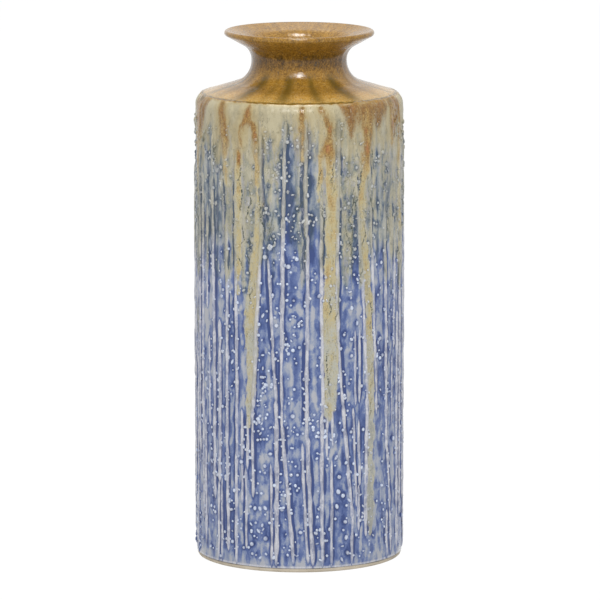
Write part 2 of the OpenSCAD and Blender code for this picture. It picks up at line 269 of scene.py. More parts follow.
def pick(layer, at_turn, at_height):
    """The chart's value at any turns and heights, blended between its four nearest points."""
    column = ((np.asarray(at_turn, float) + 180) % 360) / turn_step
    row = np.clip(np.asarray(at_height, float) / z_step, 0, len(chart_z) - 1.001)
    left, low = np.floor(column).astype(int), np.floor(row).astype(int)
    over, up = column - left, row - low
    left, right = left % len(chart_turn), (left + 1) % len(chart_turn)
    lower = layer[low, left] * (1 - over) + layer[low, right] * over
    upper = layer[low + 1, left] * (1 - over) + layer[low + 1, right] * over
    return lower * (1 - up) + upper * up


def ease(low, high, value):
    """0 below low, 1 above high and a smooth step between."""
    share = np.clip((value - low) / (high - low), 0, 1)
    return share * share * (3 - 2 * share)


def turns_apart(a, b):
    """Degrees from b to a, the short way round."""
    return (a - b + 180) % 360 - 180


print(f"chart: {len(chart_turn)} turns by {len(chart_z)} heights")

# %% [markdown]
# ### Where the slip lies
# A trail is drawn with a slip bottle in one stroke, so it sways a little, swells where the hand slowed and
# thins out at its ends. The same course is used for the chart and later for the trail itself, so the glaze
# follows every bend of it and pools in a dark groove on one side of a trail. That dark line is partly the
# pooling cobalt and partly painted shade beside the relief.

# %% Distance to the nearest slip
dice = np.random.default_rng(7)
trail_width = {"long_slip_trails": 2.2, "short_slip_trails": 1.8}
full_wave = 6.28
trail_phase = {node: dice.uniform(0, full_wave, (len(ends), 3)) for node, ends in trail_ends.items()}
trail_weight = {node: dice.uniform(0.78, 1.08, len(ends)) for node, ends in trail_ends.items()}
run_out, taper_len, foot_space = 3.6, 3.4, 0.4


def tips(node, i):
    """Heights of the lower and upper tip of trail i of a node."""
    _, high_z, _, low_z = trail_ends[node][i]
    return max(low_z - run_out, wall_low + foot_space), high_z + run_out


def course(node, i, heights):
    """Turn and half width, in mm, of trail i of a node at some heights."""
    high_turn, high_z, low_turn, low_z = trail_ends[node][i]
    sway, wander, swell = trail_phase[node][i]
    low_tip, high_tip = tips(node, i)
    share = (heights - low_z) / (high_z - low_z)
    aside = 0.3 * np.sin(heights / 26 + sway) + 0.13 * np.sin(heights / 5.2 + wander)
    from_tip = np.minimum(heights - low_tip, high_tip - heights)
    thin = np.sqrt(np.clip(from_tip / taper_len, 0, 1))
    knots = 1 + 0.12 * np.sin(heights / 3.4 + swell) + 0.08 * np.sin(heights / 1.8 + sway)
    half = trail_weight[node][i] * trail_width[node] / 2 * knots * thin
    return low_turn + turns_apart(high_turn, low_turn) * share + aside / mm_per_turn, half


def band(rows, middle, half, low_z, high_z):
    """Distance across a band on the chart and to its edge, from its middle and half width at each height."""
    heights = chart_z[rows]
    beyond = np.maximum(0, np.maximum(low_z - heights, heights - high_z))
    across = turns_apart(turn[rows], middle[:, None]) * mm_per_turn
    return across, np.hypot(across, beyond[:, None]) - half[:, None]


side_dice, reach_dice = np.random.default_rng(17), np.random.default_rng(29)
along = ripple(3, 14, 28)
# The dark line on one side of a trail, more often the right, is partly pooling cobalt and partly painted
# shade.
lie, groove_and_shade = np.full(turn.shape, 12.0), np.full(turn.shape, -9.0)
for node, marks in trail_ends.items():
    for i in range(len(marks)):
        low_tip, high_tip = tips(node, i)
        rows = slice(*np.searchsorted(chart_z, (low_tip - 6, high_tip + 6)))
        heights = chart_z[rows]
        middle, half = course(node, i, np.clip(heights, low_tip, high_tip))
        across, to_edge = band(rows, middle, half, low_tip, high_tip)
        lie[rows] = np.minimum(lie[rows], to_edge)
        deep_noise = along[rows, side_dice.integers(len(chart_turn))]
        from_tip = np.minimum(heights - low_tip, high_tip - heights)
        reach = reach_dice.uniform(0.5, 1.4)
        groove_and_shade_w = reach * ease(-0.9, 0.0, deep_noise) - 0.9 * (1 - ease(1, 10, from_tip))
        off = side_dice.choice([-1, 1], p=[0.35, 0.65]) * across
        groove_and_shade[rows] = np.maximum(groove_and_shade[rows], groove_and_shade_w[:, None] - np.abs(off - half[:, None] - 0.6 * reach))


def lay_beads(marks):
    """Brings the distance layer up to date with some beads."""
    for bead_turn, bead_z, width in marks:
        rows = slice(*np.searchsorted(chart_z, (bead_z - 8, bead_z + 8)))
        across = turns_apart(turn[rows], bead_turn) * mm_per_turn
        lie[rows] = np.minimum(lie[rows], np.hypot(across, height[rows] - bead_z) - width / 2)


for marks in bead_marks.values():
    lay_beads(marks)
print(f"slip covers {np.mean(lie[height < 255] < 0):.0%} of the wall")

# %% [markdown]
# ### Spatter
# Between the beads lie finer drops that flew off the slip bottle, crowded in some places and rare in
# others. They are too small and too many for the solids, so seeded dice throw them here: a drop stays where
# the crowd layer is dense and no other slip is in its way. More of them cling to the sides of the trails,
# and some of the larger ones sit in tight clumps, whose places on the front are listed.

# %% Throw fine drops
drop_dice = np.random.default_rng(5)
thrown = 4600
drops = np.column_stack([drop_dice.uniform(-180, 180, thrown), drop_dice.uniform(6, 256, thrown),
                         1.1 + 1.3 * drop_dice.uniform(0, 1, thrown) ** 1.6])
crowd = pick(ripple(9, 34, 19), drops[:, 0], drops[:, 1]) + drop_dice.normal(0, 0.4, thrown)
# The two sides get more drops, and larger ones, since they stand out in the outline there.
crowd += np.exp(-((np.abs(drops[:, 0]) - 88) / 6) ** 2)
room = pick(lie, drops[:, 0], drops[:, 1]) - drops[:, 2] / 2
drops = drops[(crowd > 0.2) & (room > 0.05)]
seen_edge_on = np.abs(np.abs(drops[:, 0]) - 89) < 8
drops[seen_edge_on, 2] *= 1.3
# Turn, height and number of drops of each clump.
clumps = [(-70.6, 246, 4), (-54, 234, 6), (-47.4, 223, 4), (-17.5, 247, 6), (-8, 236, 5), (-11.5, 228, 5),
          (23, 255, 5), (28, 261, 3), (47, 259, 4), (66, 258, 4), (48, 238, 5), (-17, 208, 6), (-9, 205, 4),
          (-16, 190, 7), (8, 204, 5), (23.5, 187, 4), (32, 184, 4), (-19, 107, 7), (-24, 87, 7), (5.6, 87, 6),
          (-5.3, 130, 5), (0.5, 147, 5), (24, 88, 5)]
clump_dice = np.random.default_rng(3)
for clump_turn, clump_z, count in clumps:
    clump = np.column_stack([clump_dice.normal(clump_turn, 1.7, count),
                             clump_dice.normal(clump_z, 2.6, count), clump_dice.uniform(1.4, 2.5, count)])
    drops = np.concatenate([drops, clump[pick(lie, clump[:, 0], clump[:, 1]) > 0]])
for node, marks in trail_ends.items():
    for i, (_, high_z, _, low_z) in enumerate(marks):
        drop_z = drop_dice.uniform(low_z, high_z, drop_dice.poisson((high_z - low_z) / 8))
        middle, half = course(node, i, drop_z)
        width = 1.2 + 1.3 * drop_dice.uniform(0, 1, len(drop_z)) ** 1.6
        aside = drop_dice.choice([-1, 1], len(drop_z)) * (half + 0.15 * width)
        drops = np.concatenate([drops, np.column_stack([middle + aside / mm_per_turn, drop_z, width])])
lay_beads(drops)
bead_marks["small_slip_beads"] = np.concatenate([bead_marks["small_slip_beads"], drops])
print(f"fine drops: {len(drops)}")

# %% [markdown]
# ### Where the amber ran
# The amber glaze on the shoulder melted thin and ran down between the trails in tongues: rust red where it
# is thick at the top, honey yellow in the middle and pale olive where it gave out. Each run is a row of
# points with a turn, a height and a half width in millimetres. Those on the front are listed one by one; the
# rest are drawn by seeded dice in the same manner.

# %% Amber runs
front_runs = [
    [(-29, 268, 0.3), (-29, 265, 1.8), (-29.2, 261, 3.0), (-31.6, 258, 1.8), (-34.4, 255.5, 1.5),
     (-35.2, 249, 1.1), (-35.4, 241, 1.6), (-35.4, 225, 2.3), (-35.4, 210, 2.4), (-35.4, 185, 1.9),
     (-35.6, 160, 0.9)],
    [(-28.6, 259.5, 1.6), (-26.2, 257, 1.8), (-25, 254, 1.5), (-24.6, 246, 1.2), (-23.4, 225, 1.6),
     (-22.9, 205, 2.1), (-23, 190, 2.5), (-24.6, 178, 3.2), (-25.6, 166, 3.9), (-26.4, 155, 4.2),
     (-27.4, 142, 4.2), (-27.2, 125, 3.5), (-27.4, 105, 2.8), (-28.6, 92, 1.9), (-29.6, 84, 0.8)],
    [(12.6, 268, 1.2), (14.6, 260, 1.3), (16.8, 254, 1.6), (16.4, 247, 3.4), (15.6, 242, 3.8),
     (16.4, 236, 2.9), (17, 228, 2.8), (17.6, 215, 3.2), (17.4, 200, 3.4), (17.2, 180, 3.8), (17.2, 150, 4.0),
     (17.2, 130, 4.2), (17, 110, 4.2), (16.6, 98, 3.6), (16.4, 90, 2.4)],
    [(40, 264, 3.0), (40.2, 252, 2.8), (40, 240, 2.6), (39, 229, 2.3), (36.8, 219, 2.6), (36.1, 211, 2.8),
     (36.4, 203, 2.2), (38, 190, 2.2), (39.8, 175, 2.5), (41, 160, 2.8), (42, 130, 2.9), (43, 100, 2.6),
     (43, 70, 2.1), (43, 52, 2.4), (43, 38, 2.7), (43.2, 29, 2.0), (43, 21, 0.9)],
    [(-48.4, 268, 1.6), (-47.4, 258, 2.6), (-45.6, 249, 2.4), (-44.6, 238, 1.4), (-43.8, 222, 0.8)],
    [(1.8, 268, 1.0), (1.8, 252, 0.8), (1.6, 238, 0.5)],
    [(-74, 270, 4.6), (-74, 256, 3.6), (-76, 240, 2.0), (-76.4, 215, 1.2)],
    [(63.4, 268, 3.0), (63, 255, 2.6), (62.6, 244, 1.2)],
    [(10.8, 240, 0.7), (11, 228, 1.3), (11, 214, 0.7)],
    [(72, 266, 1.6), (72.6, 240, 1.0), (72.4, 205, 1.4), (72.2, 170, 0.7)],
]
run_dice = np.random.default_rng(23)
back_runs = []
for middle in run_dice.uniform(84, 278, 18):
    length = run_dice.choice([20, 40, 80, 120, 180]) * run_dice.uniform(0.8, 1.25)
    wide = run_dice.uniform(0.8, 2.8)
    swell = run_dice.uniform(1.0, 1.8)
    lean = run_dice.uniform(-3, 3)
    back_runs.append([(middle, 268, wide), (middle + 0.2 * lean, 250, wide * 1.1),
                      (middle + 0.5 * lean, 258 - 0.45 * length, wide),
                      (middle + 0.8 * lean, 258 - 0.75 * length, wide * swell),
                      (middle + lean, 258 - length, 0.6 * wide)])
print(f"runs: {len(front_runs)} on the front, {len(back_runs)} round the back")

# %% Signed distance to the amber
edge_wander = 0.45 * ripple(2.6, 9, 11) + 0.3 * ripple(1.2, 3, 12)
to_run = np.full(turn.shape, 20.0)
for points in front_runs + back_runs:
    run_turn, run_z, run_half = np.array(points)[::-1].T
    middle, half = (np.interp(chart_z, run_z, values) for values in (run_turn, run_half))
    to_run = np.minimum(to_run, band(slice(None), middle, half, run_z[0], run_z[-1])[1])
to_run += edge_wander
to_run /= 1 + 1.2 * ease(230, 250, height)
amber_end = 269.6 + 0.25 * ripple(3, 3, 13)
to_run = np.minimum(to_run, 1.6 * (amber_end - height))
# Each stain is a row of heights, each with the turns of its left and right edge.
front_stains = [
    [(257, 27, 55), (262, 25, 57), (270, 22, 60)],
    [(239, 39, 42.4), (250, 38, 43.6), (262, 37, 45)],
    [(249, 28.4, 31), (262, 26, 34)],
    [(252, 47.6, 50), (262, 46, 53)],
    [(240, -46, -43), (246, -48, -42), (254, -50, -43), (262, -50, -45), (270, -51, -46)],
    [(244, -77, -70), (256, -80, -66), (270, -82, -60)],
    [(246, 62, 66), (256, 60, 70), (270, 58, 76)],
    [(254, -29.4, -28.6), (258, -31.2, -27), (262, -32, -26.4), (266, -30.4, -27.6), (269, -29.2, -28.8)],
]
back_stains = [[(z, m - half, m + half) for z, half in ((246, 0.8), (256, 2.5), (262, 4), (270, wide))]
               for m, wide in ((98, 8), (141, 12), (187, 7), (226, 14), (262, 9))]
stain = np.zeros(turn.shape)
for points in front_stains + back_stains:
    stain_z, left, right = np.array(points).T
    left, right = (np.interp(chart_z, stain_z, edge)[:, None] for edge in (left, right))
    within = np.minimum(turns_apart(turn, left), turns_apart(right, turn)) * mm_per_turn
    stain = np.maximum(stain, ease(-1.5, 2.5, within) * ease(stain_z[0] - 3, stain_z[0] + 6, height))
print(f"amber lies on {np.mean(to_run[(height > 5) & (height < 260)] < 0):.0%} of the wall")

# %% How warm the amber is
warm_heights = [20, 60, 90, 120, 160, 200, 222, 236, 250, 268]
warm_shares = [0.02, 0.1, 0.16, 0.24, 0.35, 0.42, 0.5, 0.65, 0.83, 0.94]
warm = np.interp(height, warm_heights, warm_shares) + 0.07 * ripple(3, 8, 14)
# Turn, height, half width and half height of each rust spot.
rust_spots = [(-34.4, 238, 2.2, 5), (15.8, 244, 3.4, 5), (16.8, 255, 1.6, 4), (40, 243, 2.6, 7),
              (-24.6, 251, 2.4, 6), (63, 255, 2, 5), (-72, 257, 2.6, 5), (39.4, 253, 2, 4),
              (-33, 249, 1.6, 4)]


def spot(at_turn, at_height, across, up):
    """Distance from a spot on the chart, counted in the spot's own half sizes."""
    return np.hypot(turns_apart(turn, at_turn) * mm_per_turn / across, (height - at_height) / up)


for rust_spot in rust_spots:
    warm = np.maximum(warm, 1.18 - 0.5 * spot(*rust_spot) ** 2)
print(f"amber is {warm.min():.2f} to {warm.max():.2f} warm, with {len(rust_spots)} rust spots")

# %% [markdown]
# ### Where the blue begins
# Under the shoulder the glaze is a milky olive, and lower down it turns to cobalt. The border is ragged: in
# some lanes between trails the blue climbs almost to the shoulder, and in others the olive hangs down to
# the middle. One list gives the height of that border round the front, and a few pools are marked where the
# glaze gathered thick and dark.

# %% Blue share and dark pools
blue_turns = [-80, -73, -70, -66, -57, -55.4, -53, -50, -48, -45, -38, -30, -20.6, -19.4, -11.4, -10.4, -3.4,
              -1, 1.6, 3, 4.4, 10.4, 11.4, 13, 22, 30, 31, 34, 35, 43, 45, 54, 56, 80]
blue_starts = [160, 160, 205, 240, 238, 214, 228, 226, 198, 172, 168, 162, 168, 200, 206, 238, 240,
               185, 172, 178, 252, 248, 192, 182, 162, 158, 202, 202, 166, 184, 212, 206, 178, 172]
lane_dice = np.random.default_rng(31)
back_lanes = np.arange(86, 276, 4.5)
blue_turns = blue_turns + list(back_lanes)
back_starts = lane_dice.choice([165, 182, 205, 238], len(back_lanes))
back_starts = back_starts + lane_dice.normal(0, 6, len(back_lanes))
blue_starts = blue_starts + list(back_starts)
blue_line = np.interp((chart_turn + 80) % 360 - 80, blue_turns, blue_starts)
ragged = 9 * ripple(2.4, 30, 15) + 6 * ripple(5, 14, 16)
below = blue_line[None, :] + ragged - height
blue = 0.25 * ease(-254, -232, 0.8 * ragged - height)
blue += 0.25 * ease(-18, 2, below) * ease(-262, -246, -height)
blue += 0.5 * ease(-14, 24, 188 + 0.6 * ragged - height) * ease(-16, 10, below)
blue += 0.15 * ease(-15, -8, -np.abs(turn)) * ease(-263, -249, 0.5 * ragged - height)
# Turn, height, half width, half height and depth of each pool.
pools = [(-5, 215, 2.4, 9, 1), (-6.2, 196, 1.6, 7, 1), (6.4, 202, 2.3, 10, 1), (6, 226, 1.3, 16, 1),
         (7.4, 185, 1.8, 8, 1), (32.2, 196, 1.2, 12, 1), (-51.4, 205, 1.1, 22, 1), (-52, 165, 1.2, 16, 1),
         (-9, 232, 1.2, 9, 1), (-17.5, 205, 1.4, 9, 1), (48, 214, 1.4, 12, 0.8), (-60, 222, 1.5, 10, 1),
         (-6.5, 208, 5.5, 36, 0.5), (7, 222, 3.2, 26, 0.45), (-56, 196, 4, 26, 0.3), (-17, 192, 2, 16, 0.5)]
deep = np.zeros(turn.shape)
for *pool, depth in pools:
    deep = np.maximum(deep, depth * np.exp(-spot(*pool) ** 2))
print(f"blue covers {np.mean(blue[height < 260] > 0.5):.0%} of the wall")

# %% [markdown]
# ### Thick and thin glaze
# The same glaze looks dark where it is thin or lies in a pool of clear cobalt, and milky where it is thick.
# On this wall that makes long strands from top to bottom, soft clouds across them, and dark borders against
# the slip, darkest beside some of the trails. Those borders are partly pooling cobalt and partly painted
# shade round the relief. One tone layer adds these up, from 0 for dark to 1 for milky, and a second one
# marks the lanes where the glaze clotted to a grey plate.

# %% Tone of the ground
strands, lanes = ripple(1.5, 50, 20), ripple(3.6, 60, 21)
clouds, curds = ripple(6, 14, 22), ripple(2.4, 5, 34)
# Darker blue round every trail and bead: partly pooling cobalt, partly painted shade round the relief.
pooled_and_shade = np.exp(-(np.maximum(lie, 0) / 0.95) ** 1.5) * np.clip(0.6 + 0.4 * ripple(4.5, 14, 24), 0.4, 1)
tone = 0.44 + 0.05 * strands + 0.05 * lanes + 0.07 * clouds + 0.09 * curds - 0.5 * pooled_and_shade - 0.68 * deep
tone += 0.05 * ease(60, 110, height) - 0.07 * ease(-70, -30, -height) + 0.25 * ease(-11, -4, -height)
# Less grey plate near the slip, so darker there: partly cobalt against the slip, partly painted shade.
banked_and_shade = np.exp(-(np.maximum(lie, 0) / 1.7) ** 2) * np.clip(0.5 + 0.7 * ripple(4.5, 20, 37), 0, 1.2)
plate = 0.35 + 0.55 * ripple(2.6, 22, 35) + 0.6 * ripple(2.4, 6, 36) - 1.3 * banked_and_shade - 1.2 * deep
print(f"tone: {tone.mean():.2f} on average, {tone.std():.2f} of spread")

# %% [markdown]
# ### Crack lines
# Where the runs cooled against the milky olive glaze, thin dark lines squirm down the wall beside them.
# Each one is drawn as a wandering line, and the chart keeps the distance to it and a mask that fades it out
# at its ends.

# %% Crack lines beside the runs
# Turn, upper height and lower height of each crack.
cracks = [(-33, 218, 160), (-18.6, 240, 192), (-29, 226, 198), (27, 238, 208), (13.4, 218, 176),
          (16.6, 178, 136), (22.8, 192, 156), (43.4, 224, 196), (50, 242, 210), (-20.4, 222, 186),
          (-47, 222, 180), (9.6, 246, 212), (0.6, 232, 196), (28, 206, 176), (-64, 210, 160), (59, 214, 170),
          (15.6, 132, 96), (43.6, 120, 84)]
crack_dice = np.random.default_rng(41)
cracks += [(t, z, z - crack_dice.uniform(20, 60)) for t, z in
           zip(crack_dice.uniform(-180, 180, 110), crack_dice.uniform(170, 252, 110))]
crack_off = np.full(turn.shape, 9.0)
crack_near = np.zeros(turn.shape)
slow, quick, broken = ripple(3, 11, 25), ripple(3, 3.6, 26), ripple(3, 10, 27)
for crack_turn, high_z, low_z in cracks:
    column = crack_dice.integers(len(chart_turn))
    wobble = 0.9 * slow[:, column] + 0.55 * quick[:, column]
    shows = ease(-0.6, 0.5, broken[:, column])
    across = turns_apart(turn, crack_turn) * mm_per_turn - wobble[:, None]
    near = ease(low_z, low_z + 8, height) * ease(-high_z, 8 - high_z, -height)
    near = near * ease(-2.2, -0.6, -np.abs(across)) * shows[:, None]
    better = near > crack_near
    crack_off[better] = across[better]
    crack_near[better] = near[better]
print(f"crack lines: {len(cracks)}")

# %% [markdown]
# ### How the glaze stands
# Molten glaze is thick enough to feel: the runs stand a third of a millimetre proud with a rolled edge, the
# amber coat ends in a thick roll on the shoulder's edge, and the blue creeps up against every trail as
# water does in a glass. The clay under it keeps a slow unevenness from the throwing. All of that is
# geometry, since it bends the reflections.

# %% Height of the glaze over the clay
run_roll = np.exp(-((to_run + 0.7) / 0.45) ** 2)
lift = ((0.34 * ease(-0.9, 0.5, -to_run) + 0.12 * run_roll) * ease(-268, -258, -height)
        + 0.2 * np.exp(-np.maximum(lie, 0) / 0.8)
        + 0.08 * strands + 0.05 * clouds + 0.07 * curds + 0.05 * ripple(1.5, 3, 18)
        - 0.15 * ease(-0.2, 0.4, groove_and_shade))
lift *= ease(0, 6, height - wall_low) * ease(-276, -262, -height)
lift += 0.42 * np.exp(-((height - amber_end) / 0.8) ** 2) * (0.8 + 0.2 * ripple(5, 5, 38))
print(f"glaze stands {lift.min():.2f} to {lift.max():.2f} mm off the clay")

# %% [markdown]
# ## Turning the clay pieces
# Wall, shoulder, neck and floor were made on a wheel, so each is a section swept round the axis. Blender's
# Screw modifier could do that, but a grid of points made here gives each point its own height of glaze and
# its own chart values. The same small function also skins the trails and beads, which are rows of rings
# too.

# %% Helpers for skins
def skin(name, grids, loop=False):
    """A mesh from grids of rings, in mm; loop joins the last ring to the first, otherwise both are capped."""
    points, faces, start = [], [], 0
    for grid in grids:
        rows, count = grid.shape[:2]
        index = start + np.arange(rows * count).reshape(rows, count)
        near = index if loop else index[:-1]
        far = np.roll(index, -1, axis=0) if loop else index[1:]
        quads = np.stack([near, np.roll(near, -1, axis=1), np.roll(far, -1, axis=1), far], axis=-1)
        faces += quads.reshape(-1, 4).tolist()
        if not loop:
            faces += [index[0, ::-1].tolist(), index[-1].tolist()]
        points.append(grid.reshape(-1, 3))
        start += rows * count
    mesh = bpy.data.meshes.new(name)
    mesh.from_pydata((np.concatenate(points) * mm).tolist(), [], faces)
    mesh.shade_smooth()
    mesh.set_sharp_from_angle(angle=math.radians(50))
    piece = bpy.data.objects.new(name, mesh)
    scene.collection.objects.link(piece)
    return piece


def on_pot(r, turns, z):
    """Points at some radii, turns and heights."""
    angle = np.radians(turns)
    return np.stack([r * np.sin(angle), -r * np.cos(angle), z], axis=-1)


def turned(section, turns, off, seam=()):
    """Rings of a section of [r, z] points, moved off along its normal, or straight out at a seam, in mm."""
    ahead = np.roll(section, -1, axis=0) - np.roll(section, 1, axis=0)
    ahead /= np.linalg.norm(ahead, axis=1)[:, None]
    ahead[list(seam)] = (0, 1)
    r = section[:, :1] + ahead[:, 1:] * off
    z = section[:, 1:] - ahead[:, :1] * off
    return on_pot(r, turns, z)


def round_turns(count):
    """Turns evenly spread round the pot."""
    return np.linspace(-180, 180, count, endpoint=False)


def paint(piece, **layers):
    """Puts chart values on a piece's vertices, for its shader."""
    for name, values in layers.items():
        layer = piece.data.attributes.new(name, "FLOAT", "POINT")
        layer.data.foreach_set("value", np.ascontiguousarray(values, np.float32).ravel())


def settle(piece, material, node):
    """Gives a piece its material and puts it in the place of a solid."""
    piece.data.materials.append(material)
    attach(piece, "root")
    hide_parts(node)
    print(f"{piece.name}: {len(piece.data.polygons)} faces for {node}")


print("helpers ready")

# %% [markdown]
# ## Glazed stoneware
# The glaze is a glass, fused to the clay at about 1250 degrees. It has an index of refraction near 1.5 and
# a smooth but not mirror-like surface, so it shows soft highlights over a coloured body. The material reads
# the chart layers, blurs their borders with noise of real sizes, and lays its finishes over each other as
# the kiln did: a ground from olive to cobalt, pale slip, amber runs, the honey coat of the neck, then
# specks and cracks.

# %% Glaze: chart layers and grain
glaze = bpy.data.materials.new("reactive glaze on stoneware")
glaze.use_nodes = True
tree = glaze.node_tree
shader = tree.nodes["Principled BSDF"]
place = add(tree, "TexCoord", {}, out="Object")
layer = {name: add(tree, "Attribute", {}, out="Fac", attribute_name=name)
         for name in ("lie", "to_run", "warm", "stain", "blue", "tone", "groove_and_shade", "plate",
                      "crack_off", "crack_near", "streak", "gold", "coat", "thin_edge", "dot")}
swirl_mm = 4.0
swirl = add(tree, "TexNoise", {"Vector": place, "Scale": 1 / (swirl_mm * mm), "Detail": 2.0}, out="Color")
swirl = add(tree, "VectorMath", {0: swirl, 1: (0.5, 0.5, 0.5)}, operation="SUBTRACT")
bent = add(tree, "VectorMath", {0: swirl, 1: (swirl_mm * mm,) * 3, 2: place}, operation="MULTIPLY_ADD")
grain_sizes = {"patch": (3.4, 6.0), "strand": (1.5, 20.0), "fleck": (0.8, 1.0), "dash": (0.7, 3.2),
               "grit": (1.0, 1.0), "lace": (1.9, 2.6)}
grain = {}
for name, (across, up) in grain_sizes.items():
    per_mm = (1 / (across * mm), 1 / (across * mm), 1 / (up * mm))
    scaled = add(tree, "Mapping", {"Vector": bent, "Scale": per_mm})
    grain[name] = add(tree, "TexNoise", {"Vector": scaled, "Scale": 1.0, "Detail": 4.0, "Roughness": 0.6})
print("glaze grain, mm:", grain_sizes)

# %% Glaze: masks
# A mask stretches a layer or a grain into a share: none at its first value and all at its second, or from
# one share to another where a row ends in two shares. Grain added to a layer first frays the mask's border.
def shifted(value, **amounts):
    """A value moved up and down by some grains about their middles."""
    for name, amount in amounts.items():
        push = add(tree, "Math", {0: grain[name], 1: 0.5}, operation="SUBTRACT")
        value = add(tree, "Math", {0: push, 1: amount, 2: value}, operation="MULTIPLY_ADD")
    return value


blue_share = shifted(layer["blue"], strand=0.4)
run_depth = shifted(layer["to_run"], dash=1.6, fleck=1.4, patch=1.4)
from_line = {"crack": layer["crack_off"]}
for name in ("lace", "strand"):
    from_line[name] = add(tree, "Math", {0: grain[name], 1: 0.5}, operation="SUBTRACT")
from_line = {name: add(tree, "Math", {0: value}, operation="ABSOLUTE") for name, value in from_line.items()}
mask_rows = {
    "plated": (shifted(layer["plate"], patch=2.6, fleck=0.6), -0.25, 0.45, 0, 0.31),
    # The dark line beside trails: partly pooling cobalt, partly painted shade.
    "cut": (shifted(layer["groove_and_shade"], dash=0.4), -0.15, 0.25),
    "beside_run": (layer["to_run"], 7.0, 0.0),
    "dusty": (blue_share, 0.04, 0.2),
    "slate": (blue_share, 0.28, 0.46),
    "cobalt": (blue_share, 0.56, 0.9),
    "lilac": (grain["strand"], 0.5, 0.62),
    "over_cobalt": (layer["blue"], 0.7, 0.4, 0, 0.5),
    "under_straw": (layer["blue"], 0.03, 0.2),
    "hot": (layer["warm"], 0.5, 0.85),
    "not_hottest": (layer["warm"], 0.95, 0.85),
    "halo": (layer["to_run"], 3.0, 0.0, 0, 0.6),
    "worn": (grain["patch"], 0.38, 0.54, 0.55, 1),
    "thick": (grain["strand"], 0.36, 0.52, 0.6, 1),
    "crest": (layer["lie"], -0.03, -0.38),
    "veiled": (layer["blue"], 0.0, 0.4, 0.4, 1),
    "in_run": (run_depth, 0.4, -0.4),
    "rim": (run_depth, -0.9, -0.15),
    "rust_rim": (layer["warm"], 0.5, 0.85, 0, 0.55),
    "pale_rim": (layer["warm"], 0.8, 0.55, 0, 0.55),
    "near_stain": (layer["stain"], 0.0, 0.2),
    "fleck": (grain["fleck"], 0.5, 0.64, 0, 0.65),
    "lace": (from_line["lace"], 0.05, 0.015, 0, 0.6),
    "no_coat": (layer["coat"], 1.0, 0.0),
    "dash": (grain["dash"], 0.6, 0.68, 0, 0.5),
    "not_blue": (blue_share, 0.75, 0.3),
    "crack": (shifted(from_line["crack"], dash=1.0), 0.6, 0.25),
    "broken": (grain["fleck"], 0.42, 0.54),
    "wrinkle": (from_line["strand"], 0.022, 0.006, 0, 0.7),
    "wrinkled": (grain["patch"], 0.48, 0.56),
}
mask = {}
for name, (value, start, end, *shares) in mask_rows.items():
    low, high = shares or (0, 1)
    mask[name] = add(tree, "MapRange", {"Value": value, "From Min": start, "From Max": end,
                                        "To Min": low, "To Max": high})
print(f"masks: {len(mask)}")

# %% Glaze: cobalt and olive ground
# Cobalt in a milky glaze is dark where it pooled thin against the slip and lavender where it lies thick.
# Part of the dark against the slip is painted shade.
# The upper glaze is opaque and streaked lengthwise: straw at the top, then a dusty grey, slate and cobalt
# below.
def laid(under, *coats):
    """A colour with coats over it; each coat is a colour and shares whose product says how much it hides."""
    for over, share, *more in coats:
        for factor in more:
            share = add(tree, "Math", {0: share, 1: factor}, operation="MULTIPLY")
        over = linear(over) if isinstance(over, str) else over
        under = add(tree, "Mix", {0: share, 6: under, 7: over}, out=2, data_type="RGBA")
    return under


milk = shifted(layer["tone"], patch=0.75, strand=0.25, fleck=0.4, dash=0.1)
milk = add(tree, "Math", {0: milk, 1: mask["plated"]})
# Darker beside some trails: partly pooling cobalt, partly painted shade.
milk = add(tree, "Math", {0: mask["cut"], 1: -0.75, 2: milk}, operation="MULTIPLY_ADD")
straw = add(tree, "Math", {0: mask["beside_run"], 1: 0.2, 2: milk}, operation="MULTIPLY_ADD")
straw = shifted(straw, grit=0.7)
cobalt = add(tree, "ValToRGB", {"Fac": milk}, codes="#334578 #445789 #586997 #7683A3 #939AAA #A6A8AF")
slate = add(tree, "ValToRGB", {"Fac": milk}, codes="#34465C #4E5E72 #6F7A84 #8B9192 #9EA099 #ADAC9E")
dusty = add(tree, "ValToRGB", {"Fac": straw}, codes="#3D4C60 #677077 #868980 #9B9885 #A5A08A #B1AC97")
olive = add(tree, "ValToRGB", {"Fac": straw}, codes="#6A6A5C #8C8873 #A0977C #A99F82 #B2A98C")
ground = laid(olive, (dusty, mask["dusty"]), (slate, mask["slate"]), (cobalt, mask["cobalt"]),
              ("#9999A4", mask["lilac"], mask["over_cobalt"], mask["under_straw"]),
              ("#A8935F", mask["halo"], mask["hot"]))
print("ground made of olive, dusty grey, slate and cobalt")

# %% Glaze: over the slip
# The glaze thins over each trail and bead, so the white slip shows through along the crest.
worn = add(tree, "Math", {0: mask["worn"], 1: mask["thick"]}, operation="MULTIPLY")
worn = add(tree, "Math", {0: worn, 1: layer["dot"]}, operation="MAXIMUM")
crest = add(tree, "Math", {0: mask["crest"], 1: worn}, operation="MULTIPLY")
crest = add(tree, "Math", {0: crest, 1: mask["veiled"]}, operation="MULTIPLY")
whiteness = shifted(0.5, dash=1.6)
pale_low = add(tree, "ValToRGB", {"Fac": whiteness}, codes="#ABADB6 #C0C0C5 #D2D2D6")
pale_high = add(tree, "ValToRGB", {"Fac": whiteness}, codes="#9A998D #ADAA9C #BCB9AE")
pale = laid(laid(pale_high, ("#BBBDBC", layer["dot"])),
            (laid(pale_low, ("#C8D2E3", layer["dot"])), mask["cobalt"]))
ground = laid(ground, (pale, crest))
print("pale slip crests made")

